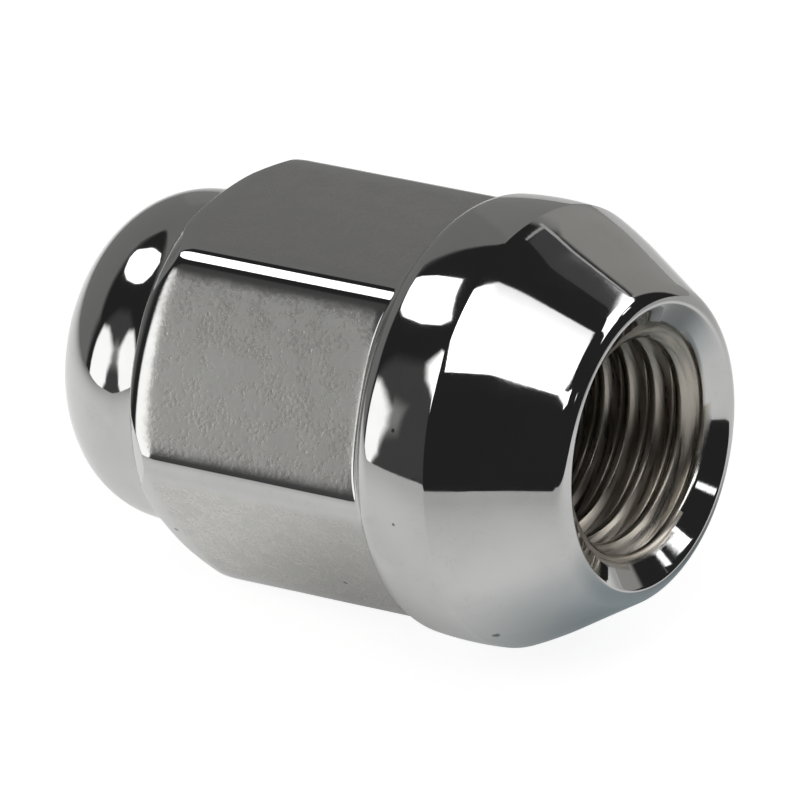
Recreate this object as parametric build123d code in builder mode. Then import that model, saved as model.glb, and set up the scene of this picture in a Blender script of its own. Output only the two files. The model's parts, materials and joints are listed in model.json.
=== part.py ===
from build123d import *
import os
from math import asin, atan2, cos, degrees, hypot, radians, sin, tan

# Closed-end conical lug nut with a bulge, M12 x 1.5 thread, 19 mm hexagon.
# It is one cold-forged, plated piece, so it is one solid: a domed cap, a hexagon, a round bulge
# and a 60 degree seat, with a countersunk blind bore from the mouth.
#
# Frame: millimetres, +Z up, floor at Z = 0, origin in the middle of the nut's footprint.
# The nut lies as it comes to rest, on the bulge and on one flat of the hexagon. The bulge is
# wider than the flats, so the mouth, which faces +X, is tipped up by rest_tilt.
#
# A station is a distance along the nut, from the plane of its mouth towards its dome.
# A slope is the angle, in degrees, between an outline and the axis of the nut.

# ------------------------------------------------------------------ driving dimensions
overall_length = 31.75

across_flats = 19.0
hex_corner_radius = 1.9          # rounding of the six long corners
hex_end_station = 24.45          # the hexagon ends here, and the dome stands on it
hex_end_taper = 49.0             # slope of the taper that trims the corners
hex_end_ring_inset = 0.6         # from the flats in to the end ring
hex_end_ring_width = 0.5         # flat ring left around the dome

thread_diameter = 12.0
thread_pitch = 1.5
bore_depth = 24.0                # down to the full width of the drilled hole
drill_point_angle = 118.0
countersink_angle = 108.0
countersink_margin = 1.14        # from the thread out to the countersink's mouth

seat_angle = 60.0                # included angle of the conical seat
seat_ease_radius = 22.0          # large arc that eases the seat over to the bulge
seat_ease_turn = 6.4             # how far that arc turns
lip_width = 0.58                 # from the countersink's mouth out to the seat
lip_radius = 1.1                 # rounding from the mouth to the seat

bulge_overhang = 0.42            # how far the bulge stands out past the hexagon's corners
crown_radius = 18.0              # the bulge is crowned lengthwise
crown_rise = 5.0                 # slope of the crown where it leaves the seat
crown_fall = 5.6                 # slope of the crown where it meets the shoulder
shoulder_radius = 1.4
shoulder_end = 70.0              # slope of the flank that runs down into the hexagon

dome_edge_radius = 3.15
dome_crown_radius = 15.0

# ------------------------------------------------------------------ worked-out sizes
apothem = across_flats / 2
corner_reach = (apothem - hex_corner_radius) / cos(radians(30)) + hex_corner_radius
end_ring_radius = apothem - hex_end_ring_inset
flat_end_station = hex_end_station - hex_end_ring_inset / tan(radians(hex_end_taper))
dome_radius = end_ring_radius - hex_end_ring_width

# The bore stays plain, at the minor diameter of the metric thread that is cut in it.
bore_radius = thread_diameter / 2 - 0.541266 * thread_pitch
countersink_radius = thread_diameter / 2 + countersink_margin
countersink_depth = (countersink_radius - bore_radius) / tan(radians(countersink_angle / 2))
drill_point_depth = bore_radius / tan(radians(drill_point_angle / 2))

# The seat runs straight, and then its easing arc lifts it to the start of the crown.
seat_slope = seat_angle / 2
ease_end_slope = seat_slope - seat_ease_turn
ease_rise = seat_ease_radius * (cos(radians(ease_end_slope)) - cos(radians(seat_slope)))
ease_length = seat_ease_radius * (sin(radians(seat_slope)) - sin(radians(ease_end_slope)))
seat_mouth_radius = countersink_radius + lip_width
bulge_radius = corner_reach + bulge_overhang
crown_start_radius = bulge_radius - crown_radius * (1 - cos(radians(crown_rise)))
seat_length = (crown_start_radius - ease_rise - seat_mouth_radius) / tan(radians(seat_slope))
crown_top_station = seat_length + ease_length + crown_radius * sin(radians(crown_rise))

# ------------------------------------------------------------------ how the nut lies
# It touches the floor with a round arc of the bulge and with the dome end of a flat. Both are
# given as distances along and out from the axis.
crown_centre = (crown_top_station, bulge_radius - crown_radius)
shoulder_centre = (
    crown_centre[0] + (crown_radius - shoulder_radius) * sin(radians(crown_fall)),
    crown_centre[1] + (crown_radius - shoulder_radius) * cos(radians(crown_fall)),
)
flat_end = (flat_end_station, apothem)


def slope_of_tangent(centre, radius, point):
    """Slope of the straight line that rests on a round arc of the outline and on a point."""
    along = point[0] - centre[0]
    fall = centre[1] - point[1]
    turn = asin(radius / hypot(along, fall))
    return degrees(atan2(fall, along) + turn)


rest_tilt = slope_of_tangent(shoulder_centre, shoulder_radius, flat_end)
if rest_tilt < crown_fall:
    rest_tilt = slope_of_tangent(crown_centre, crown_radius, flat_end)
tilt_sin = sin(radians(rest_tilt))
tilt_cos = cos(radians(rest_tilt))

# The mouth's centre: its height over the floor, and its place between the nut's two ends.
lip_centre_radius = seat_mouth_radius - lip_radius * tan(radians(45 - seat_slope / 2))
lip_reach = lip_centre_radius * tilt_sin - lip_radius * tilt_cos + lip_radius
dome_reach = (overall_length - dome_crown_radius) * tilt_cos + dome_crown_radius
mouth_height = flat_end_station * tilt_sin + apothem * tilt_cos
mouth_centre = Vector((dome_reach - lip_reach) / 2, 0, mouth_height)

towards_dome = Vector(-tilt_cos, 0, -tilt_sin)
sideways = Vector(0, 1, 0)
nut_axis = Axis(mouth_centre, towards_dome)

# Outlines are drawn in this plane, with x as the station and y as the distance from the axis.
# It runs through two corners of the hexagon, so the seams of turned faces miss the flats.
lengthwise = Plane(
    origin=mouth_centre, x_dir=towards_dome, z_dir=towards_dome.cross(sideways)
)
# Square to the axis, in the widest part of the bulge, with one flat of the hexagon facing down.
hexagon_start = Plane(
    origin=mouth_centre + towards_dome * crown_top_station, x_dir=sideways, z_dir=towards_dome
)


def heading(slope):
    """Direction of an outline that climbs away from the axis at this slope."""
    return (cos(radians(slope)), sin(radians(slope)))


# ------------------------------------------------------------------ the nut
with BuildPart() as lug_nut:
    # Hexagon, with long rounded corners.
    with BuildSketch(hexagon_start) as hexagon:
        RegularPolygon(radius=apothem, side_count=6, major_radius=False)
        fillet(hexagon.vertices(), hex_corner_radius)
    extrude(amount=hex_end_station - crown_top_station)

    # Its turned end: a taper that trims the corners and leaves a flat ring.
    with BuildSketch(lengthwise):
        with BuildLine():
            end_ring = Line((hex_end_station, 0), (hex_end_station, end_ring_radius))
            taper_length = 2 * (corner_reach - end_ring_radius)
            taper = PolarLine(end_ring @ 1, taper_length, 180 - hex_end_taper)
            taper_top = (taper @ 1).Y
            Polyline(
                taper @ 1, (crown_top_station, taper_top), (crown_top_station, 0), end_ring @ 0
            )
        make_face()
    revolve(axis=nut_axis, mode=Mode.INTERSECT)

    # Seat, bulge and shoulder.
    with BuildSketch(lengthwise) as head_outline:
        with BuildLine():
            mouth_face = Line((0, 0), (0, seat_mouth_radius))
            seat = PolarLine(
                mouth_face @ 1, seat_length / cos(radians(seat_slope)), seat_slope
            )
            seat_ease = JernArc(seat @ 1, seat % 1, seat_ease_radius, -seat_ease_turn)
            crown = JernArc(
                seat_ease @ 1, heading(crown_rise), crown_radius, -(crown_rise + crown_fall)
            )
            shoulder = JernArc(
                crown @ 1, crown % 1, shoulder_radius, -(shoulder_end - crown_fall)
            )
            flank = PolarLine(shoulder @ 1, 2 * shoulder_radius, -shoulder_end)
            Polyline(flank @ 1, ((flank @ 1).X, 0), mouth_face @ 0)
        make_face()
        lip_corner = head_outline.vertices().sort_by_distance((0, seat_mouth_radius))[0]
        fillet(lip_corner, lip_radius)
    revolve(axis=nut_axis)

    # Domed cap.
    with BuildSketch(lengthwise) as dome_outline:
        with BuildLine():
            crown_half_angle = degrees(asin(dome_radius / dome_crown_radius))
            dome_crown = CenterArc(
                (overall_length - dome_crown_radius, 0), dome_crown_radius, 0, crown_half_angle
            )
            Polyline(
                dome_crown @ 1, (flat_end_station, dome_radius), (flat_end_station, 0),
                dome_crown @ 0
            )
        make_face()
        dome_corner = dome_outline.vertices().sort_by_distance(dome_crown @ 1)[0]
        fillet(dome_corner, dome_edge_radius)
    revolve(axis=nut_axis)

    # Countersunk blind bore, with the cone that a drill leaves at its bottom.
    with BuildSketch(lengthwise):
        with BuildLine():
            Polyline(
                (0, 0), (0, countersink_radius), (countersink_depth, bore_radius),
                (bore_depth, bore_radius), (bore_depth + drill_point_depth, 0), close=True
            )
        make_face()
    revolve(axis=nut_axis, mode=Mode.SUBTRACT)

os.makedirs("parts", exist_ok=True)
lug_nut.part.label = "lug_nut"
export_step(lug_nut.part, "parts/lug_nut.step")
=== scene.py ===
import json
import math

import bmesh
import bpy
import numpy as np
from mathutils import Matrix, Vector, noise


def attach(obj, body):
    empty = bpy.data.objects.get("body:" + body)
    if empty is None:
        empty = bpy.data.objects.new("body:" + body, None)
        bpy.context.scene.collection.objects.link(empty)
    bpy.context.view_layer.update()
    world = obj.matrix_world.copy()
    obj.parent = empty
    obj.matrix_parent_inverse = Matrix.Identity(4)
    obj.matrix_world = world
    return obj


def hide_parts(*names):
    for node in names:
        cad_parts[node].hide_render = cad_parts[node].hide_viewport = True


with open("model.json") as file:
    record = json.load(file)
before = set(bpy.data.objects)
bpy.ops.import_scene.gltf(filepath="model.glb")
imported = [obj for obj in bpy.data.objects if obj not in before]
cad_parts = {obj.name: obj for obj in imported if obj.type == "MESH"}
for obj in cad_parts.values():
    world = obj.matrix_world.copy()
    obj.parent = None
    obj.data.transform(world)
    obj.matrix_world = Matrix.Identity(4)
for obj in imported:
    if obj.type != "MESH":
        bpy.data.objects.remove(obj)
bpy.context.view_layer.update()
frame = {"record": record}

# A chrome-plated conical lug nut, lying on its bulge and on one flat of its hexagon.
#
# Lengths are in millimetres until a mesh is made. A station is a distance along the nut's axis,
# from the plane of its mouth towards its dome. The nut's outline is drawn with stations and
# distances from the axis. A lean is the angle of the outline's outward normal, in degrees, from
# straight out (0) over to the dome (90), or to the mouth (-90).
MM = 0.001

# ------------------------------------------------------------------ sizes of the outside
OVERALL_LENGTH = 31.75
APOTHEM = 9.5
CORNER_RADIUS = 1.4          # the six long corners
FLAT_RADIUS = 170.0          # the flats are very slightly crowned
PILLOW_RADIUS = 11.0         # and fall away gently before each corner
PILLOW_TURN = 5.0

RIM_RADIUS = 7.14            # where the countersink meets the lip
RIM_EDGE = 0.3
LIP_RADIUS = 1.1
SEAT_MOUTH_RADIUS = 7.72     # the seat's cone, carried on to the plane of the mouth
SEAT_LEAN = -30.0
SEAT_LENGTH = 3.81
EASE_RADIUS = 22.0
EASE_LEAN = -23.6            # where the easing arc ends in a faint crease
CREASE_RADIUS = 0.3
CROWN_RADIUS = 18.0
CROWN_START_LEAN = -5.0
CROWN_END_LEAN = 5.6
SHOULDER_RADIUS = 1.4
ROOT_RADIUS = 0.6

END_PILLOW_STATION = 23.0    # the flats also fall away before the turned end
END_PILLOW_LEAD = 0.6        # and the corners sooner, by this share of how far they stand out
END_PILLOW_RADIUS = 5.5
END_BLEND_RADIUS = 0.3
END_STATION = 24.75
END_ROUND_RADIUS = 1.4
END_RING_RADIUS = 8.63
END_ROUND_CENTRE = (END_STATION - END_ROUND_RADIUS, END_RING_RADIUS)
END_TAPER_LEAN = 35.0
DOME_RADIUS = 8.42           # at the dome's widest, a little way up from the hexagon
DOME_ROOT_RADIUS = 0.3       # a tight hollow, then a slow one
DOME_ROOT_LEAN = 11.0
DOME_FLARE_RADIUS = 7.0
DOME_WALL_RADIUS = 10.0      # then the wall leans in slowly, and rounds over to the crown
DOME_WALL_LEAN = 6.0
DOME_EDGE_RADIUS = 4.6

# ------------------------------------------------------------------ sizes of the bore
THREAD_PITCH = 1.5
THREAD_MAJOR = 6.0
THREAD_MINOR = THREAD_MAJOR - 0.541266 * THREAD_PITCH
THREAD_CREST = 1 / 4         # widths of the crest and of the root, as shares of the pitch
THREAD_ROOT = 1 / 8
THREAD_END = 21.0
THREAD_PHASE = 0.8           # turns by which the thread is wound on, as it shows in the mouth
COUNTERSINK_HALF_ANGLE = 54.0
COUNTERSINK_DEPTH = (RIM_RADIUS - THREAD_MINOR) / math.tan(math.radians(COUNTERSINK_HALF_ANGLE))
BORE_DEPTH = 24.0
DRILL_POINT_HALF_ANGLE = 59.0
DRILL_POINT_DEPTH = THREAD_MINOR / math.tan(math.radians(DRILL_POINT_HALF_ANGLE))

# ------------------------------------------------------------------ the forging's unevenness
SKIN_HOLLOW = 0.012          # depth and spacing of the hollows, on the plate and on the flats
SKIN_WAVELENGTH = 3.0
FLAT_HOLLOW = 0.008
FLAT_WAVELENGTH = 1.6
# The flats show the forging's dull finish between two stations, and it fades out towards both.
FORGED_START = 10.8
FORGED_START_FADE = 0.3
FORGED_END = 23.9
FORGED_END_FADE = 1.0
# It also fades out where the skin falls or rises from the flats, over these distances from them.
FORGED_FALL = (0.19, 0.08)
FORGED_RISE = (0.02, 0.1)

# Small pits and specks: a station, a distance from the axis, an angle and a size.
MARKS = (
    (5.3, 10.7, -75, 0.30), (7.9, 11.1, -5, 0.14), (7.9, 11.1, -30, 0.12), (23.7, 9.4, -63, 0.20),
    (14.5, 9.8, -74, 0.17),
)

# ------------------------------------------------------------------ fineness of the mesh
# Columns in half of a flat, in one pillow and in half of a corner.
FLAT_STEPS = 9
PILLOW_STEPS = 4
CORNER_STEPS = 8
# Rows in each stretch of the outline.
ROWS = {
    "rim": 5, "lip": 14, "seat": 9, "ease": 8, "crease": 5, "crown": 12, "shoulder": 18, "root": 10,
    "flat": 34, "pillow": 8, "blend": 12, "end_round": 8,
    "dome_root": 6, "flare": 8, "wall": 8, "dome_edge": 22, "dome_crown": 18,
}
# Rows of one turn of the thread, as shares of the pitch from the middle of a crest: two rows
# at each edge of the crest and of the root, and one halfway down each flank.
THREAD_ROWS = (0, 0.11, 0.14, 0.29, 0.42, 0.455, 0.545, 0.58, 0.71, 0.86, 0.89)
# Slack with which the mesh's points are sorted by their place.
SLACK = 0.05


# ------------------------------------------------------------------ the nut's own frame
bore_mount = next(m for m in frame["record"]["mounts"] if m["name"] == "thread_bore")
outward = Vector(bore_mount["axis"]).normalized()
bore_half_length = bore_mount["dims"]["length_mm"] / 2
mouth_centre = Vector(bore_mount["pos_m"]) + outward * (bore_half_length + COUNTERSINK_DEPTH) * MM

towards_dome = -outward
topward = Vector((-outward.z, 0, outward.x))
sideways = Vector((0, 1, 0))
# Angle 0 round the axis is the middle of the flat that faces the camera, and 60 of the top flat.
face_direction = 0.5 * topward - math.sqrt(0.75) * sideways
quarter_direction = towards_dome.cross(face_direction)


def nut_points(station, radius, angle):
    """World points, in metres, from arrays of stations, distances from the axis and angles."""
    along, across, up = (np.array(v) for v in (towards_dome, face_direction, quarter_direction))
    return np.array(mouth_centre) + MM * (
        station[..., None] * along
        + (radius * np.cos(angle))[..., None] * across
        + (radius * np.sin(angle))[..., None] * up
    )


def axis_point(station):
    """The world point, in metres, at one station of the axis, as an array of one point."""
    return nut_points(np.array([station]), np.zeros(1), np.zeros(1))


# ------------------------------------------------------------------ outlines
def arc(centre, radius, start, end, steps):
    """A rounded stretch of the outline between two leans. A negative radius makes it hollow."""
    lean = np.radians(start + (end - start) * np.linspace(0, 1, steps + 1)[:, None])
    return centre[0] + radius * np.sin(lean), centre[1] + radius * np.cos(lean)


def line(start, end, steps):
    """A straight stretch of the outline."""
    share = np.linspace(0, 1, steps + 1)[:, None]
    return start[0] + (end[0] - start[0]) * share, start[1] + (end[1] - start[1]) * share


def on_arc(centre, radius, lean):
    """The point of an arc at one lean."""
    angle = np.radians(lean)
    return centre[0] + radius * np.sin(angle), centre[1] + radius * np.cos(angle)


def run_to_circle(start, direction, centre, radius, side):
    """How far on a circle lies in one direction, at its near side (-1) or its far side (1)."""
    away = start[0] - centre[0], start[1] - centre[1]
    half = away[0] * direction[0] + away[1] * direction[1]
    return -half + side * np.sqrt(half**2 - away[0] ** 2 - away[1] ** 2 + radius**2)


def circles_meet(first, first_radius, second, second_radius):
    """The point, nearer to the dome, where two circles cross, or not-a-number where they don't."""
    along, out = second[0] - first[0], second[1] - first[1]
    apart = np.hypot(along, out)
    share = (first_radius**2 - second_radius**2 + apart**2) / (2 * apart)
    side = np.sqrt(np.where(share < first_radius, first_radius**2 - share**2, np.nan))
    base = first[0] + share * along / apart, first[1] + share * out / apart
    one = base[0] + side * out / apart, base[1] - side * along / apart
    two = base[0] - side * out / apart, base[1] + side * along / apart
    nearer = one[0] > two[0]
    return np.where(nearer, one[0], two[0]), np.where(nearer, one[1], two[1])


def hexagon_section():
    """Angles round the axis, and distances from it, of the hexagon's cross-section."""
    turn = math.radians(PILLOW_TURN)
    corner = math.radians(30)
    # Half of the flat is what the pillow and half of the corner leave of half a side.
    pillow_run = PILLOW_RADIUS * np.array([1 - math.cos(turn), math.sin(turn)])
    corner_run = CORNER_RADIUS * np.array(
        [math.cos(turn) - math.cos(corner), math.sin(corner) - math.sin(turn)]
    )
    half_side = (APOTHEM - pillow_run[0] - corner_run[0]) * math.tan(corner)
    flat_turn = (half_side - pillow_run[1] - corner_run[1]) / FLAT_RADIUS
    flat = np.linspace(0, flat_turn, FLAT_STEPS, endpoint=False)
    pillow = np.linspace(flat_turn, turn, PILLOW_STEPS, endpoint=False)
    rounding = np.linspace(turn, corner, CORNER_STEPS + 1)
    x, y, at_x, at_y = [], [], APOTHEM, 0.0
    for radius, turns, end in (
        (FLAT_RADIUS, flat, flat_turn), (PILLOW_RADIUS, pillow, turn), (CORNER_RADIUS, rounding, corner)
    ):
        first = turns[0]
        x.append(at_x - radius * (math.cos(first) - np.cos(turns)))
        y.append(at_y + radius * (np.sin(turns) - math.sin(first)))
        at_x -= radius * (math.cos(first) - math.cos(end))
        at_y += radius * (math.sin(end) - math.sin(first))
    x, y = np.concatenate(x), np.concatenate(y)
    # A whisker of turn brings the corner's middle exactly onto its 30 degrees.
    spare = corner - math.atan2(y[-1], x[-1])
    half_angle, half_reach = np.arctan2(y, x), np.hypot(x, y)
    half_angle = half_angle + spare * half_angle / half_angle[-1]
    angle = np.concatenate([-half_angle[:0:-1], half_angle[:-1]])
    reach = np.concatenate([half_reach[:0:-1], half_reach[:-1]])
    sixths = [angle + math.radians(60 * k) for k in range(6)]
    return np.concatenate(sixths), np.tile(reach, 6)


def rim_and_seat():
    """The outline from the mouth's rim to the end of the straight seat, and that end."""
    lip_inset = LIP_RADIUS * math.tan(math.radians(45 + SEAT_LEAN / 2))
    lip_centre = (LIP_RADIUS, SEAT_MOUTH_RADIUS - lip_inset)
    # The rim's small edge lies against the countersink and inside the lip's round.
    cone = math.radians(COUNTERSINK_HALF_ANGLE)
    down_cone = (math.cos(cone), -math.sin(cone))
    start = (RIM_EDGE * math.sin(cone), RIM_RADIUS + RIM_EDGE * math.cos(cone))
    run = run_to_circle(start, down_cone, lip_centre, LIP_RADIUS - RIM_EDGE, -1)
    rim_centre = (start[0] + run * down_cone[0], start[1] + run * down_cone[1])
    rim_lean = math.degrees(math.atan2(rim_centre[0] - lip_centre[0], rim_centre[1] - lip_centre[1]))
    rim = arc(rim_centre, RIM_EDGE, -180 + COUNTERSINK_HALF_ANGLE, rim_lean, ROWS["rim"])
    lip = arc(lip_centre, LIP_RADIUS, rim_lean, SEAT_LEAN, ROWS["lip"])
    seat_rise = math.tan(math.radians(-SEAT_LEAN))
    seat_end = (SEAT_LENGTH, SEAT_MOUTH_RADIUS + SEAT_LENGTH * seat_rise)
    seat = line(on_arc(lip_centre, LIP_RADIUS, SEAT_LEAN), seat_end, ROWS["seat"])
    return [rim, lip, seat], seat_end


def ease_and_crown(seat_end):
    """The outline over the faint crease to the end of the bulge's crown, and the crown's centre."""
    ease_centre = on_arc(seat_end, -EASE_RADIUS, SEAT_LEAN)
    crease = on_arc(ease_centre, EASE_RADIUS, EASE_LEAN)
    crease_turn = (CROWN_START_LEAN - EASE_LEAN) / 2
    crease_depth = CREASE_RADIUS / math.cos(math.radians(crease_turn))
    crease_centre = on_arc(crease, -crease_depth, EASE_LEAN + crease_turn)
    cut = CREASE_RADIUS * math.tan(math.radians(crease_turn))
    ease_end = EASE_LEAN - math.degrees(cut / EASE_RADIUS)
    ease = arc(ease_centre, EASE_RADIUS, SEAT_LEAN, ease_end, ROWS["ease"])
    rounding = arc(crease_centre, CREASE_RADIUS, EASE_LEAN, CROWN_START_LEAN, ROWS["crease"])
    crown_centre = on_arc(crease, -CROWN_RADIUS, CROWN_START_LEAN)
    crown_start = CROWN_START_LEAN + math.degrees(cut / CROWN_RADIUS)
    crown = arc(crown_centre, CROWN_RADIUS, crown_start, CROWN_END_LEAN, ROWS["crown"])
    return [ease, rounding, crown], crown_centre


def shoulder_and_root(crown_centre, reach):
    """The outline down from the bulge to the hexagon, and the station where it gets there."""
    shoulder_centre = on_arc(crown_centre, CROWN_RADIUS - SHOULDER_RADIUS, CROWN_END_LEAN)
    out = reach + ROOT_RADIUS - shoulder_centre[1]
    root_station = shoulder_centre[0] + np.sqrt((SHOULDER_RADIUS + ROOT_RADIUS) ** 2 - out**2)
    root_lean = np.degrees(np.arctan2(root_station - shoulder_centre[0], out))
    shoulder = arc(shoulder_centre, SHOULDER_RADIUS, CROWN_END_LEAN, root_lean, ROWS["shoulder"])
    root = arc((root_station, reach + ROOT_RADIUS), -ROOT_RADIUS, root_lean, 0, ROWS["root"])
    return [shoulder, root], root_station


def end_pillow_centre(reach):
    """Centre of the arc by which the hexagon falls away before its turned end."""
    return END_PILLOW_STATION - END_PILLOW_LEAD * (reach - APOTHEM), reach - END_PILLOW_RADIUS


def turned_end(reach):
    """Centre and leans of the blend into the turned end, and the run of taper that follows it."""
    pillow = end_pillow_centre(reach)
    pillow_gap = END_PILLOW_RADIUS - END_BLEND_RADIUS
    round_gap = END_ROUND_RADIUS - END_BLEND_RADIUS
    station, radius = circles_meet(pillow, pillow_gap, END_ROUND_CENTRE, round_gap)
    end_lean = np.degrees(np.arctan2(station - END_ROUND_CENTRE[0], radius - END_ROUND_CENTRE[1]))
    # Near the corners the blend runs onto the straight taper instead.
    taper = math.radians(END_TAPER_LEAN)
    up_taper = (-math.cos(taper), math.sin(taper))
    foot = on_arc(END_ROUND_CENTRE, round_gap, END_TAPER_LEAN)
    run = run_to_circle(foot, up_taper, pillow, pillow_gap, 1)
    on_taper = ~(end_lean > END_TAPER_LEAN)
    station = np.where(on_taper, foot[0] + run * up_taper[0], station)
    radius = np.where(on_taper, foot[1] + run * up_taper[1], radius)
    end_lean = np.where(on_taper, END_TAPER_LEAN, end_lean)
    start_lean = np.degrees(np.arctan2(station - pillow[0], radius - pillow[1]))
    return (station, radius), start_lean, end_lean, np.where(on_taper, run, 0)


def taper_and_round(run, start_lean, steps):
    """The taper, of any length, and the rounding after it, in steps of equal length."""
    bend = END_ROUND_RADIUS * np.radians(90 - start_lean)
    gone = (run + bend) * np.linspace(0, 1, steps + 1)[:, None]
    still_to_go = np.maximum(run - gone, 0)
    lean = start_lean + np.degrees(np.maximum(gone - run, 0) / END_ROUND_RADIUS)
    station, radius = on_arc(END_ROUND_CENTRE, END_ROUND_RADIUS, lean)
    taper = math.radians(END_TAPER_LEAN)
    return station - still_to_go * math.cos(taper), radius + still_to_go * math.sin(taper)


def hexagon_and_end(root_station, reach):
    """The outline along the hexagon and over its turned end, to the dome's root."""
    blend_centre, blend_start, blend_end, taper_run = turned_end(reach)
    pillow_centre = end_pillow_centre(reach)
    flat = line((root_station, reach), (pillow_centre[0], reach), ROWS["flat"])
    pillow = arc(pillow_centre, END_PILLOW_RADIUS, 0, blend_start, ROWS["pillow"])
    blend = arc(blend_centre, END_BLEND_RADIUS, blend_start, blend_end, ROWS["blend"])
    end_round = taper_and_round(taper_run, blend_end, ROWS["end_round"])
    return [flat, pillow, blend, end_round]


def dome():
    """The outline of the dome: a tight hollow at its root, a slow one, its wall, edge and crown."""
    flare_drop = DOME_FLARE_RADIUS * (1 - math.cos(math.radians(DOME_ROOT_LEAN)))
    root_drop = END_RING_RADIUS - DOME_RADIUS - flare_drop
    root_cosine = math.cos(math.radians(DOME_ROOT_LEAN)) - root_drop / DOME_ROOT_RADIUS
    root_lean = math.degrees(math.acos(root_cosine))
    root_centre = on_arc((END_STATION, END_RING_RADIUS), DOME_ROOT_RADIUS, root_lean)
    root = arc(root_centre, -DOME_ROOT_RADIUS, root_lean, DOME_ROOT_LEAN, ROWS["dome_root"])
    flare_start = on_arc(root_centre, -DOME_ROOT_RADIUS, DOME_ROOT_LEAN)
    flare_centre = on_arc(flare_start, DOME_FLARE_RADIUS, DOME_ROOT_LEAN)
    flare = arc(flare_centre, -DOME_FLARE_RADIUS, DOME_ROOT_LEAN, 0, ROWS["flare"])
    wall_centre = (flare_centre[0], DOME_RADIUS - DOME_WALL_RADIUS)
    wall = arc(wall_centre, DOME_WALL_RADIUS, 0, DOME_WALL_LEAN, ROWS["wall"])
    edge_centre = on_arc(wall_centre, DOME_WALL_RADIUS - DOME_EDGE_RADIUS, DOME_WALL_LEAN)
    # The crown is the round that runs on from the edge and reaches the dome's top.
    crown_rise = OVERALL_LENGTH - DOME_EDGE_RADIUS - edge_centre[0]
    crown_gap = (edge_centre[1] ** 2 + crown_rise**2) / (2 * crown_rise)
    edge_lean = math.degrees(math.atan2(crown_gap - crown_rise, edge_centre[1]))
    edge = arc(edge_centre, DOME_EDGE_RADIUS, DOME_WALL_LEAN, edge_lean, ROWS["dome_edge"])
    crown_radius = crown_gap + DOME_EDGE_RADIUS
    crown_centre = (OVERALL_LENGTH - crown_radius, 0)
    crown = arc(crown_centre, crown_radius, edge_lean, 90, ROWS["dome_crown"])
    return [root, flare, wall, edge, crown]


def outside_rows(reach):
    """Stations and distances from the axis of the outside, from the mouth's rim to the dome."""
    mouth, seat_end = rim_and_seat()
    bulge, crown_centre = ease_and_crown(seat_end)
    flank, root_station = shoulder_and_root(crown_centre, reach)
    stations, radii = [], []
    for station, radius in mouth + bulge + flank + hexagon_and_end(root_station, reach) + dome():
        station, radius = (np.broadcast_to(v, (len(station), len(reach))) for v in (station, radius))
        stations.append(station[:-1])
        radii.append(radius[:-1])
    return np.concatenate(stations), np.concatenate(radii)


# ------------------------------------------------------------------ the threaded bore
def thread_radius(station, angle):
    """Distance from the axis to the internal right-hand thread, which fades out at its end."""
    turn = station / THREAD_PITCH - angle / (2 * math.pi) - THREAD_PHASE
    off = np.abs(turn - np.round(turn))
    flank = np.clip((off - THREAD_CREST / 2) / (0.5 - THREAD_ROOT / 2 - THREAD_CREST / 2), 0, 1)
    fade = np.clip((THREAD_END - station) / THREAD_PITCH, 0, 1)
    return THREAD_MINOR + (THREAD_MAJOR - THREAD_MINOR) * flank * fade


def cone_radius(station):
    """Distance from the axis to the countersink's cone."""
    return RIM_RADIUS - station * math.tan(math.radians(COUNTERSINK_HALF_ANGLE))


def bore_rows(angle, top):
    """Rows that climb with the thread, from the countersink's rim down to the bore's end."""
    # The rows start before the mouth and end past the bore's end, and are cut back to both.
    turns = np.arange(-2, math.ceil(BORE_DEPTH / THREAD_PITCH) + 1)
    place = (turns[:, None] + np.array(THREAD_ROWS)).reshape(-1, 1)
    station = (place + THREAD_PHASE + angle / (2 * math.pi)) * THREAD_PITCH
    # Where the thread breaks out of the countersink, the nearest row moves onto the break.
    rise = thread_radius(station, angle) - cone_radius(station)
    above, below = rise[:-1], rise[1:]
    share = np.where(above * below < 0, above / np.where(above == below, 1, above - below), np.nan)
    crossing = station[:-1] + share * (station[1:] - station[:-1])
    moved = station.copy()
    moved[:-1] = np.where(share < 0.5, crossing, moved[:-1])
    moved[1:] = np.where(share >= 0.5, crossing, moved[1:])
    station = np.clip(moved, top, BORE_DEPTH)
    return station, np.maximum(cone_radius(station), thread_radius(station, angle))


# ------------------------------------------------------------------ the mesh
class Skin:
    """Points and faces of one closed mesh."""

    def __init__(self):
        self.points, self.faces, self.count = [], [], 0

    def add_points(self, points):
        """Adds a block of points and returns their numbers in the same layout."""
        numbers = self.count + np.arange(points.size // 3).reshape(points.shape[:-1])
        self.points.append(points.reshape(-1, 3))
        self.count += numbers.size
        return numbers

    def add_quads(self, first, second, third, fourth):
        """Adds faces with these corners, leaving out corners that fall together."""
        for corners in zip(first.ravel(), second.ravel(), third.ravel(), fourth.ravel()):
            face = list(dict.fromkeys(int(c) for c in corners))
            if len(face) > 2:
                self.faces.append(face)

    def add_band(self, rows):
        """Adds the faces between closed rings of points."""
        after = np.roll(rows, -1, axis=1)
        self.add_quads(rows[:-1], after[:-1], after[1:], rows[1:])

    def add_cap(self, ring, apex):
        """Closes a ring with triangles to one point."""
        after = np.roll(ring, -1)
        self.faces.extend([int(a), int(b), int(apex)] for a, b in zip(ring, after))

    def mesh(self, name):
        """A Blender mesh of these points and faces, without the points that no face uses."""
        mesh = bpy.data.meshes.new(name)
        mesh.from_pydata(np.concatenate(self.points).tolist(), [], self.faces)
        form = bmesh.new()
        form.from_mesh(mesh)
        loose = [v for v in form.verts if not v.link_faces]
        bmesh.ops.delete(form, geom=loose, context="VERTS")
        bmesh.ops.recalc_face_normals(form, faces=form.faces)
        form.to_mesh(mesh)
        form.free()
        return mesh


def ramp(value, start, end):
    """0 before start, 1 after end, and smooth between them."""
    share = np.clip((value - start) / (end - start), 0, 1)
    return share * share * (3 - 2 * share)


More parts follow.
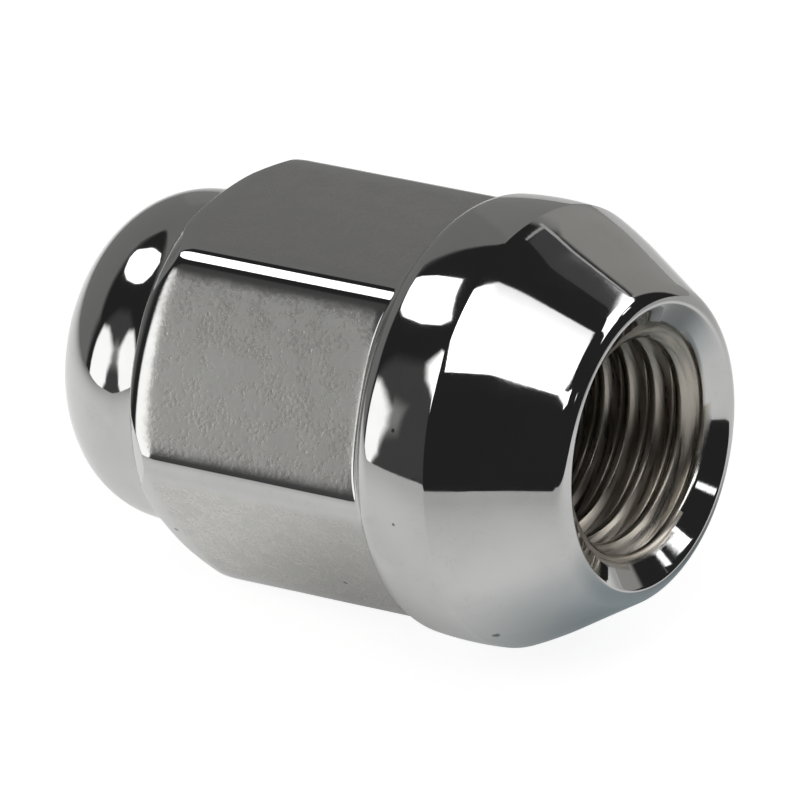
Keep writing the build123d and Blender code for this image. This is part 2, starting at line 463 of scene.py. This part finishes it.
def unevenness(points, wavelength):
    """Smooth hills and hollows from 0 to 1, about a wavelength in millimetres across."""
    scale = 1 / wavelength
    return np.array([0.5 + 0.5 * noise.noise(Vector(p) * scale) for p in points])


def forged_share(station, out):
    """1 on the flats, and 0 elsewhere, from stations and distances out along the flats' normals."""
    share = ramp(out, APOTHEM - FORGED_FALL[0], APOTHEM - FORGED_FALL[1])
    share = share * (1 - ramp(out, APOTHEM + FORGED_RISE[0], APOTHEM + FORGED_RISE[1]))
    share = share * ramp(station, FORGED_START, FORGED_START + FORGED_START_FADE)
    return share * (1 - ramp(station, FORGED_END - FORGED_END_FADE, FORGED_END))


def wear_in(mesh):
    """Presses faint forging hollows into the skin, and marks its forged flats and its bore."""
    count = len(mesh.vertices)
    points, normals = np.empty(count * 3), np.empty(count * 3)
    mesh.vertices.foreach_get("co", points)
    mesh.vertices.foreach_get("normal", normals)
    points, normals = points.reshape(-1, 3), normals.reshape(-1, 3)
    place = (points - np.array(mouth_centre)) / MM
    station = place @ np.array(towards_dome)
    across = place @ np.array(face_direction)
    up = place @ np.array(quarter_direction)
    reach = np.hypot(across, up)
    # The angle from the middle of the nearest flat.
    sixth = (np.arctan2(up, across) + math.pi / 6) % (math.pi / 3) - math.pi / 6
    flat = forged_share(station, reach * np.cos(sixth))
    bore = (reach < THREAD_MAJOR + SLACK) & (station < BORE_DEPTH + DRILL_POINT_DEPTH + SLACK)
    countersink = (reach < RIM_RADIUS + 2 * SLACK) & (station < COUNTERSINK_DEPTH + SLACK)
    for name, share in (("forged_flat", flat), ("bore", bore.astype(float))):
        mesh.attributes.new(name, "FLOAT", "POINT").data.foreach_set("value", share.tolist())
    in_mm = points / MM
    depth = SKIN_HOLLOW * unevenness(in_mm, SKIN_WAVELENGTH) * (1 - flat)
    depth += FLAT_HOLLOW * unevenness(in_mm, FLAT_WAVELENGTH) * flat
    depth[bore | countersink] = 0
    mesh.vertices.foreach_set("co", (points - normals * depth[:, None] * MM).ravel())
    mesh.update()


def add_bore(skin, rim, angle, top):
    """Adds the countersink, the thread and the drill point, inwards from the rim's points."""
    station, radius = bore_rows(angle, top)
    bore = skin.add_points(nut_points(station, radius, np.broadcast_to(angle, station.shape)))
    floor_station, floor_radius = np.full(angle.shape, BORE_DEPTH), np.full(angle.shape, THREAD_MINOR)
    floor_ring = skin.add_points(nut_points(floor_station, floor_radius, angle))
    bore = np.where(station <= top, rim, bore)
    bore = np.where(station >= BORE_DEPTH, floor_ring, bore)
    # One turn round the axis, each row meets the row one turn of the thread further on.
    step = len(THREAD_ROWS)
    after = np.concatenate([bore[:-step, 1:], bore[step:, :1]], axis=1)
    rows = bore[:-step]
    skin.add_quads(rows[:-1], rows[1:], after[1:], after[:-1])
    drill_point = skin.add_points(axis_point(BORE_DEPTH + DRILL_POINT_DEPTH))
    skin.add_cap(floor_ring, drill_point[0])


def build_nut():
    """The whole nut as one closed mesh."""
    skin = Skin()
    angle, reach = hexagon_section()
    station, radius = outside_rows(reach)
    outside = skin.add_points(nut_points(station, radius, np.broadcast_to(angle, station.shape)))
    skin.add_band(outside)
    dome_top = skin.add_points(axis_point(OVERALL_LENGTH))
    skin.add_cap(outside[-1], dome_top[0])
    add_bore(skin, outside[0], angle, station[0, 0])
    mesh = skin.mesh("lug_nut_skin")
    wear_in(mesh)
    mesh.shade_smooth()
    nut = bpy.data.objects.new("lug_nut_skin", mesh)
    bpy.context.scene.collection.objects.link(nut)
    return nut


# ------------------------------------------------------------------ materials
# Noises: how many hills they have to a millimetre, and their levels of detail.
BROAD_NOISE = (0.35, 3.0)
SKIN_NOISE = (0.9, 4.0)
GRAIN_NOISE = (4.5, 5.0)
TAP_MARKS_ALONG = 9.0        # the tap's marks in the bore, along its axis and across it
TAP_MARKS_ACROSS = 0.3
TAP_MARKS_DETAIL = 3.0
PIT_CELLS = 1.5              # cells to a millimetre, with one pit in each
# Colours and roughness change as a noise rises: its levels where the change starts and ends, and
# what they are before and after it.
PLATE_COLOURS = (0.35, 0.7, (0.58, 0.58, 0.58, 1), (0.55, 0.552, 0.55, 1))
FORGED_COLOURS = (0.40, 0.60, (0.57, 0.562, 0.545, 1), (0.53, 0.527, 0.515, 1))
STEEL_COLOURS = (0.35, 0.7, (0.54, 0.50, 0.44, 1), (0.34, 0.315, 0.28, 1))
PLATE_ROUGHNESS = (0.3, 0.8, 0.03, 0.06)
FORGED_ROUGHNESS = (0.40, 0.60, 0.25, 0.33)
STEEL_ROUGHNESS = (0.3, 0.7, 0.46, 0.22)
# The same for a pit's depth, as the distance from its middle rises.
PIT_DEPTHS = (0.02, 0.16, 0.5, 0.0)
# Dried stains leave thin wandering outlines on the plate, where the skin's noise has one level.
STAIN_LEVEL = 0.52
STAIN_WIDTH = 0.006
STAIN_PATCHES = (0.48, 0.56)
STAIN_COLOUR = (0.50, 0.50, 0.49, 1)
MARK_EDGE = 1.35             # where a mark ends, as a share of its size
MARK_COLOUR = (0.16, 0.16, 0.155, 1)
# Strength of the fine relief on the plate, the forged flats and the steel, and its depth.
PLATE_RELIEF = 0.012
FORGED_RELIEF = 0.25
STEEL_RELIEF = 0.5
RELIEF_DEPTH = 0.03


class Nodes:
    """Shorthand for making and linking the shader nodes of one tree."""

    def __init__(self, tree):
        self.tree = tree

    def add(self, kind, inputs=None, **settings):
        """A new node with these settings, and with a link or a value for each named input."""
        node = self.tree.nodes.new(kind)
        for name, value in settings.items():
            setattr(node, name, value)
        for key, value in (inputs or {}).items():
            if isinstance(value, bpy.types.NodeSocket):
                self.tree.links.new(value, node.inputs[key])
            else:
                node.inputs[key].default_value = value
        return node

    def math(self, operation, first, second=0.0):
        """The result of an operation on one or two numbers."""
        return self.add("ShaderNodeMath", {0: first, 1: second}, operation=operation).outputs[0]

    def vector_math(self, operation, first, second, output="Vector"):
        """The result of an operation on two vectors."""
        node = self.add("ShaderNodeVectorMath", {0: first, 1: second}, operation=operation)
        return node.outputs[output]

    def smooth(self, value, start, end, low=0.0, high=1.0):
        """A number that changes smoothly from low to high as the value goes from start to end."""
        inputs = {"Value": value, "From Min": start, "From Max": end, "To Min": low, "To Max": high}
        node = self.add("ShaderNodeMapRange", inputs, interpolation_type="SMOOTHSTEP")
        return node.outputs["Result"]

    def mix(self, factor, first, second, blend="MIX"):
        """A mix of two colours."""
        inputs = {0: factor, 6: first, 7: second}
        return self.add("ShaderNodeMix", inputs, data_type="RGBA", blend_type=blend).outputs[2]

    def mix_numbers(self, factor, first, second):
        """A mix of two numbers."""
        inputs = {0: factor, 2: first, 3: second}
        return self.add("ShaderNodeMix", inputs, data_type="FLOAT").outputs[0]

    def smooth_colours(self, value, start, end, low, high):
        """A colour that changes smoothly from low to high as the value goes from start to end."""
        return self.mix(self.smooth(value, start, end), low, high)

    def noise(self, place, scale, detail):
        """Noise with this many hills to a unit of the place."""
        inputs = {"Vector": place, "Scale": scale, "Detail": detail}
        return self.add("ShaderNodeTexNoise", inputs).outputs["Fac"]

    def attribute(self, name):
        """A number that the mesh carries at each of its points."""
        return self.add("ShaderNodeAttribute", attribute_name=name).outputs["Fac"]

    def finish(self, surface):
        """Makes this shader the material's surface."""
        self.add("ShaderNodeOutputMaterial", {"Surface": surface})


class PlateNodes(Nodes):
    """Polished plate over a cold forging, duller on the flats and bare steel in the thread."""

    def __init__(self, tree):
        super().__init__(tree)
        self.place = self.add("ShaderNodeTexCoord").outputs["Object"]
        self.flat = self.attribute("forged_flat")
        self.bore = self.attribute("bore")
        self.broad, self.skin, self.grain = (
            self.noise(self.place, scale / MM, detail)
            for scale, detail in (BROAD_NOISE, SKIN_NOISE, GRAIN_NOISE)
        )
        self.mottle = self.math("MULTIPLY", self.math("ADD", self.grain, self.skin), 0.5)
        self.streaks = self.tap_marks()

    def tap_marks(self):
        """The tap's marks run round the bore, so they change quickly along the axis only."""
        along = self.vector_math("DOT_PRODUCT", self.place, towards_dome, "Value")
        quick = self.math("MULTIPLY", along, TAP_MARKS_ALONG / MM)
        squeezed = self.add("ShaderNodeCombineXYZ", {0: quick}).outputs[0]
        spread = self.vector_math("MULTIPLY", self.place, (TAP_MARKS_ACROSS / MM,) * 3)
        return self.noise(self.vector_math("ADD", squeezed, spread), 1.0, TAP_MARKS_DETAIL)

    def colour(self):
        """Base colour, with stains, and with small pits and specks of dirt at their own places."""
        plate = self.smooth_colours(self.broad, *PLATE_COLOURS)
        forged = self.smooth_colours(self.mottle, *FORGED_COLOURS)
        steel = self.smooth_colours(self.streaks, *STEEL_COLOURS)
        edge = self.math("ABSOLUTE", self.math("SUBTRACT", self.skin, STAIN_LEVEL))
        outline = self.smooth(edge, 0.0, STAIN_WIDTH, 1.0, 0.0)
        stain = self.math("MULTIPLY", outline, self.smooth(self.broad, *STAIN_PATCHES))
        plate = self.mix(stain, plate, STAIN_COLOUR)
        colour = self.mix(self.bore, self.mix(self.flat, plate, forged), steel)
        for station, radius, angle, size in MARKS:
            spot = nut_points(*(np.array(float(v)) for v in (station, radius, math.radians(angle))))
            away = self.vector_math("DISTANCE", self.place, tuple(spot.tolist()), "Value")
            ragged = self.math("ADD", away, self.math("MULTIPLY", self.grain, size * MM))
            inside = self.smooth(ragged, size * MM, MARK_EDGE * size * MM, 1.0, 0.0)
            colour = self.mix(inside, colour, MARK_COLOUR)
        return colour

    def roughness(self):
        """Roughness: smooth plate, a duller finish on the flats, and worn steel in the bore."""
        plate = self.smooth(self.broad, *PLATE_ROUGHNESS)
        forged = self.smooth(self.mottle, *FORGED_ROUGHNESS)
        steel = self.smooth(self.streaks, *STEEL_ROUGHNESS)
        return self.mix_numbers(self.bore, self.mix_numbers(self.flat, plate, forged), steel)

    def relief(self):
        """Normals for grain on the outside, small pits on the flats, and tap marks in the bore."""
        cells = self.add("ShaderNodeTexVoronoi", {"Vector": self.place, "Scale": PIT_CELLS / MM})
        pits = self.smooth(cells.outputs["Distance"], *PIT_DEPTHS)
        forging = self.math("SUBTRACT", self.grain, self.math("MULTIPLY", pits, self.flat))
        height = self.mix_numbers(self.bore, forging, self.streaks)
        outside = self.mix_numbers(self.flat, PLATE_RELIEF, FORGED_RELIEF)
        strength = self.mix_numbers(self.bore, outside, STEEL_RELIEF)
        inputs = {"Height": height, "Strength": strength, "Distance": RELIEF_DEPTH * MM}
        return self.add("ShaderNodeBump", inputs).outputs["Normal"]


def chrome():
    """The nut's one material."""
    material = bpy.data.materials.new("chrome_plate")
    material.use_nodes = True
    tree = material.node_tree
    nodes = PlateNodes(tree)
    shader = tree.nodes["Principled BSDF"]
    shader.inputs["Metallic"].default_value = 1.0
    tree.links.new(nodes.colour(), shader.inputs["Base Color"])
    tree.links.new(nodes.roughness(), shader.inputs["Roughness"])
    tree.links.new(nodes.relief(), shader.inputs["Normal"])
    return material


nut = build_nut()
nut.data.materials.append(chrome())
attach(nut, "root")
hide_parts("lug_nut")


# ------------------------------------------------------------------ the studio
# Directions in the studio are given as seen from the nut: a bearing, from the camera's side (0)
# round to the right (90), the back (180) and the left (-90), and a height over the floor.
CAMERA_BEARING = -55.37
WHITE = (1, 1, 1, 1)
STUDIO_DARK = (0.026, 0.026, 0.026, 1)

# The studio's lengths are in metres. The table's edges, of which the near one runs at a slant:
TABLE_LEFT, TABLE_RIGHT, TABLE_FAR = -0.13, 0.13, 0.13
TABLE_NEAR_LEFT, TABLE_NEAR_RIGHT = -0.07, -0.13
# The table's own colour, and a glow: as the metal mirrors it, and as the camera sees it.
TABLE_MIRRORED = ((0.86, 0.86, 0.855, 1), (0.42, 0.42, 0.415, 1))
TABLE_SEEN = ((0.28, 0.28, 0.28, 1), (0.90, 0.90, 0.90, 1))
# The table as the metal mirrors it has a painted falloff of light, dimmer to its sides: an axis, two
# places on it, and the shares of light there.
TABLE_PAINTED_FALLOFF = (
    ("X", -0.13, -0.035, 0.30, 1.0), ("X", -0.02, 0.03, 1.0, 0.87),
    ("Y", -0.07, 0.0, 0.68, 1.0), ("Y", 0.02, 0.06, 1.0, 0.6),
)
# Painted shadows of the nut on the table, as the metal mirrors it, darker spots around the nut: a
# place, an inner and an outer radius, and a tint.
TABLE_PAINTED_SHADOWS = (
    ((0.020, 0.012, 0), 0.002, 0.010, (0.45, 0.45, 0.45, 1)),
    ((0.0175, 0.002, 0), 0.004, 0.0165, (0.40, 0.46, 0.49, 1)),
    ((0.001, -0.004, 0), 0.001, 0.0105, (0.60, 0.60, 0.60, 1)),
)

# Each lamp is a flat lit panel, with its light and its corners. The corners are given in order
# round its edge as a bearing, a height, a fade, which is how many degrees wide the soft edge is
# there, and, where the panel is dimmer at that corner, its share of the light.
LAMP_DISTANCES = (2.4, 1.2)     # the first in the list hangs farthest, behind the others
LAMPS = {
    "grey_wall": (
        (0.22, 0.22, 0.215),
        ((-99, -12, 16), (-101, 20, 16), (-125, 35, 8), (-158, 41, 5), (-175, 43, 4), (-178, -12, 4)),
    ),
    "back_wall": (
        (0.25, 0.25, 0.245),
        ((-176, -12, 4), (-174, 43, 4), (168, 42, 6), (150, 36, 6), (146, -12, 8)),
    ),
    "pale_wall": (
        (0.36, 0.355, 0.34),
        ((164, -12, 16), (160, 30, 16), (148, 35, 3), (128, 36, 6), (120, -12, 10)),
    ),
    "plank": (
        (0.075, 0.075, 0.078),
        ((151, 37, 1), (147, 50, 1), (128, 56, 1), (132, 41, 1)),
    ),
    "plank_edge": (
        (0.5, 0.5, 0.49),
        ((153, 34.5, 1), (152.6, 36.5, 1), (130, 41, 1), (131, 40, 1)),
    ),
    "plank_end": (
        (0.45, 0.45, 0.44),
        ((152, 36, 0.3), (148.3, 50, 0.3), (147.7, 50, 0.3), (151.3, 36, 0.3)),
    ),
    "front_dim": (
        (0.075, 0.075, 0.075),
        ((-90, 34, 10), (-76, 42, 10), (-60, 32, 10), (-50, -8, 12), (-78, -9, 6), (-90, -9, 6)),
    ),
    "front_glow": (
        (0.30, 0.30, 0.29),
        ((-76, 21, 9), (-70.5, 20, 9), (-69.5, 10, 9), (-73, 6, 9)),
    ),
    "overhead": (
        (4.0, 4.0, 4.0),
        (
            (-17, 49, 1), (4, 51, 1, 0.8), (99, 70, 1.5, 0.40), (117, 77, 1.5, 0.40), (84, 87, 1),
            (-19, 71, 1),
        ),
    ),
    "front_right": (
        (3.0, 3.0, 3.0),
        ((3, 54, 1), (27, 48, 1), (20, 41, 1), (3, 43, 1)),
    ),
    "back_left": (
        (3.0, 3.0, 3.0),
        (
            (-131, 39, 1), (-137, 41, 1), (-140, 47, 1), (-141, 55, 1), (-100, 57, 1), (-98, 53, 1),
            (-102, 47.5, 1), (-111, 42.5, 1), (-120, 40, 1),
        ),
    ),
    "left": (
        (2.3, 2.3, 2.27),
        (
            (-79, 49, 4), (-76.5, 41, 5), (-70.5, 36, 4), (-62, 31.5, 4), (-45, 28, 3), (-30, 40, 2),
            (-40, 50, 2),
        ),
    ),
    "low_left": (
        (1.65, 1.65, 1.63),
        (
            (-91, 22, 5), (-86, 24, 5), (-80, 20.6, 5), (-75.3, 16.4, 5), (-73.6, 10, 3.5),
            (-73.6, -2, 3), (-76, -10, 2), (-91, -10, 4),
        ),
    ),
    "right": (
        (2.6, 2.6, 2.6),
        (
            (141, 40, 2), (116, 29, 1), (99, 31, 1), (96, 28.5, 1), (80, 29.5, 1), (84, 34, 2),
            (91, 55, 2), (121, 60, 2),
        ),
    ),
    "right_low": (
        (2.6, 2.6, 2.6),
        ((52, 22, 1.2), (53.5, 24.5, 1.2), (55.5, 24, 1.2), (54, 22, 1.2)),
    ),
    "right_far": (
        (2.6, 2.6, 2.6),
        ((100, 25, 2), (101, 28.5, 2), (107, 27, 2), (106, 24, 2)),
    ),
}


def studio_direction(bearing, height):
    """Unit vector of a direction in the studio."""
    turn, rise = math.radians(bearing + CAMERA_BEARING), math.radians(height)
    return Vector((math.cos(rise) * math.cos(turn), math.cos(rise) * math.sin(turn), math.sin(rise)))


def stage_prop(name, points, faces, material):
    """A lamp or the table: a plain mesh that stands in the studio and isn't part of the nut."""
    mesh = bpy.data.meshes.new(name)
    mesh.from_pydata(points, [], faces)
    mesh.materials.append(material)
    prop = bpy.data.objects.new(name, mesh)
    bpy.context.scene.collection.objects.link(prop)
    return prop


def empty_material(name):
    """A material without any nodes, and the shorthand for adding them."""
    material = bpy.data.materials.new(name)
    material.use_nodes = True
    material.node_tree.nodes.clear()
    return material, Nodes(material.node_tree)


def lamp_material(name, light):
    """Glows where the panel's shine is 1, and is clear where it is 0."""
    material, nodes = empty_material(name)
    share = nodes.smooth(nodes.attribute("shine"), 0.0, 1.0)
    glow = nodes.add("ShaderNodeEmission", {"Color": (*light, 1)}).outputs[0]
    clear = nodes.add("ShaderNodeBsdfTransparent").outputs[0]
    nodes.finish(nodes.add("ShaderNodeMixShader", {0: share, 1: clear, 2: glow}).outputs[0])
    return material


def add_lamp(name, distance, light, corners):
    """A lit panel that fades out along its edge, and that the camera doesn't see."""
    directions = [studio_direction(*corner[:2]) for corner in corners]
    middle = sum(directions, Vector()).normalized()
    points = [direction * distance / direction.dot(middle) for direction in directions]
    centre = sum(points, Vector()) / len(points)
    inner, outer = [], []
    for point, corner in zip(points, corners):
        away = (point - centre).normalized() * distance * math.radians(corner[2]) / 2
        inner.append(point - away)
        outer.append(point + away)
    count = len(points)
    faces = [tuple(range(count))]
    for k in range(count):
        after = (k + 1) % count
        faces.append((k, after, count + after, count + k))
    lamp = stage_prop(name, inner + outer, faces, lamp_material(name, light))
    lamp.visible_camera = False
    shine = [corner[3] if len(corner) > 3 else 1.0 for corner in corners] + [0.0] * count
    lamp.data.attributes.new("shine", "FLOAT", "POINT").data.foreach_set("value", shine)


def build_world():
    """A dark studio. The camera sees a white background in its place."""
    world = bpy.data.worlds.new("studio")
    bpy.context.scene.world = world
    world.use_nodes = True
    nodes = Nodes(world.node_tree)
    seen = nodes.add("ShaderNodeLightPath").outputs["Is Camera Ray"]
    background = world.node_tree.nodes["Background"]
    world.node_tree.links.new(nodes.mix(seen, STUDIO_DARK, WHITE), background.inputs["Color"])


def table_dimming(nodes):
    """Painted falloff of light and painted shadows of the nut on the table, as the metal mirrors it: a
    colour that dims the table at each place on it.
    """
    place = nodes.add("ShaderNodeTexCoord").outputs["Object"]
    across = nodes.add("ShaderNodeSeparateXYZ", {0: place}).outputs
    light = 1.0
    # Painted falloff of light towards the table's sides.
    for axis, start, end, low, high in TABLE_PAINTED_FALLOFF:
        light = nodes.math("MULTIPLY", light, nodes.smooth(across[axis], start, end, low, high))
    dimming = nodes.add("ShaderNodeCombineXYZ", {0: light, 1: light, 2: light}).outputs[0]
    # Painted shadows of the nut: each spot darkens and tints the table as the metal mirrors it.
    for spot, inner, outer, tint in TABLE_PAINTED_SHADOWS:
        away = nodes.vector_math("DISTANCE", place, spot, "Value")
        dimming = nodes.mix(nodes.smooth(away, inner, outer, 1.0, 0.0), dimming, tint, "MULTIPLY")
    return dimming


def glowing_paper(nodes, paper_colour, glow_colour, strength):
    """The shader of matt paper that also glows."""
    paper = nodes.add("ShaderNodeBsdfDiffuse", {"Color": paper_colour}).outputs[0]
    glow = nodes.add("ShaderNodeEmission", {"Color": glow_colour, "Strength": strength}).outputs[0]
    return nodes.add("ShaderNodeAddShader", {0: paper, 1: glow}).outputs[0]


def build_table():
    """A small pale table, near white to the camera, that keeps a trace of the nut's shadow; as the
    metal mirrors it, it also carries painted shadows of the nut and a painted falloff of light.
    """
    material, nodes = empty_material("table")
    dimming = table_dimming(nodes)
    path = nodes.add("ShaderNodeLightPath").outputs
    mirrored = nodes.math("MAXIMUM", path["Is Glossy Ray"], path["Is Transmission Ray"])
    # The table as the metal mirrors it carries the painted falloff of light and the painted shadows of
    # the nut.
    dimmed = [nodes.mix(1.0, dimming, colour, "MULTIPLY") for colour in TABLE_MIRRORED]
    unseen_side = glowing_paper(nodes, *dimmed, mirrored)
    seen_side = glowing_paper(nodes, *TABLE_SEEN, 1.0)
    inputs = {0: path["Is Camera Ray"], 1: unseen_side, 2: seen_side}
    nodes.finish(nodes.add("ShaderNodeMixShader", inputs).outputs[0])
    corners = [
        (TABLE_LEFT, TABLE_NEAR_LEFT, 0), (TABLE_RIGHT, TABLE_NEAR_RIGHT, 0),
        (TABLE_RIGHT, TABLE_FAR, 0), (TABLE_LEFT, TABLE_FAR, 0),
    ]
    stage_prop("table", corners, [(0, 1, 2, 3)], material)


build_table()
build_world()
lamp_distances = np.linspace(*LAMP_DISTANCES, len(LAMPS)).tolist()
for lamp_distance, (lamp_name, lamp) in zip(lamp_distances, LAMPS.items()):
    add_lamp("lamp_" + lamp_name, lamp_distance, *lamp)


# ------------------------------------------------------------------ the camera
# It is placed as seen from the nut, in degrees and millimetres, and aims at a point in the nut.
VIEW_AZIMUTH = 34.63
VIEW_ELEVATION = 31.54
VIEW_ROLL = -2.68
VIEW_DISTANCE = 583.53
VIEW_AIM = (4.604, -5.670, 14.363)
VIEW_LENS = 540
VIEW_SENSOR = 36
VIEW_CLIP_START = 0.01       # in metres

azimuth, elevation = math.radians(VIEW_AZIMUTH), math.radians(VIEW_ELEVATION)
back = Vector((
    math.sin(azimuth) * math.cos(elevation),
    -math.cos(azimuth) * math.cos(elevation),
    math.sin(elevation),
))
level_right = Vector((0, 0, 1)).cross(back).normalized()
level_up = back.cross(level_right)
roll = math.radians(VIEW_ROLL)
right = math.cos(roll) * level_right + math.sin(roll) * level_up
up = back.cross(right)
camera_data = bpy.data.cameras.new("camera")
camera_data.lens = VIEW_LENS
camera_data.sensor_width = VIEW_SENSOR
camera_data.clip_start = VIEW_CLIP_START
camera = bpy.data.objects.new("camera", camera_data)
camera.matrix_world = Matrix(((*right, 0), (*up, 0), (*back, 0), (0, 0, 0, 1))).transposed()
camera.location = (Vector(VIEW_AIM) + back * VIEW_DISTANCE) * MM
bpy.context.scene.collection.objects.link(camera)
bpy.context.scene.camera = camera
bpy.context.scene.view_settings.view_transform = "Standard"
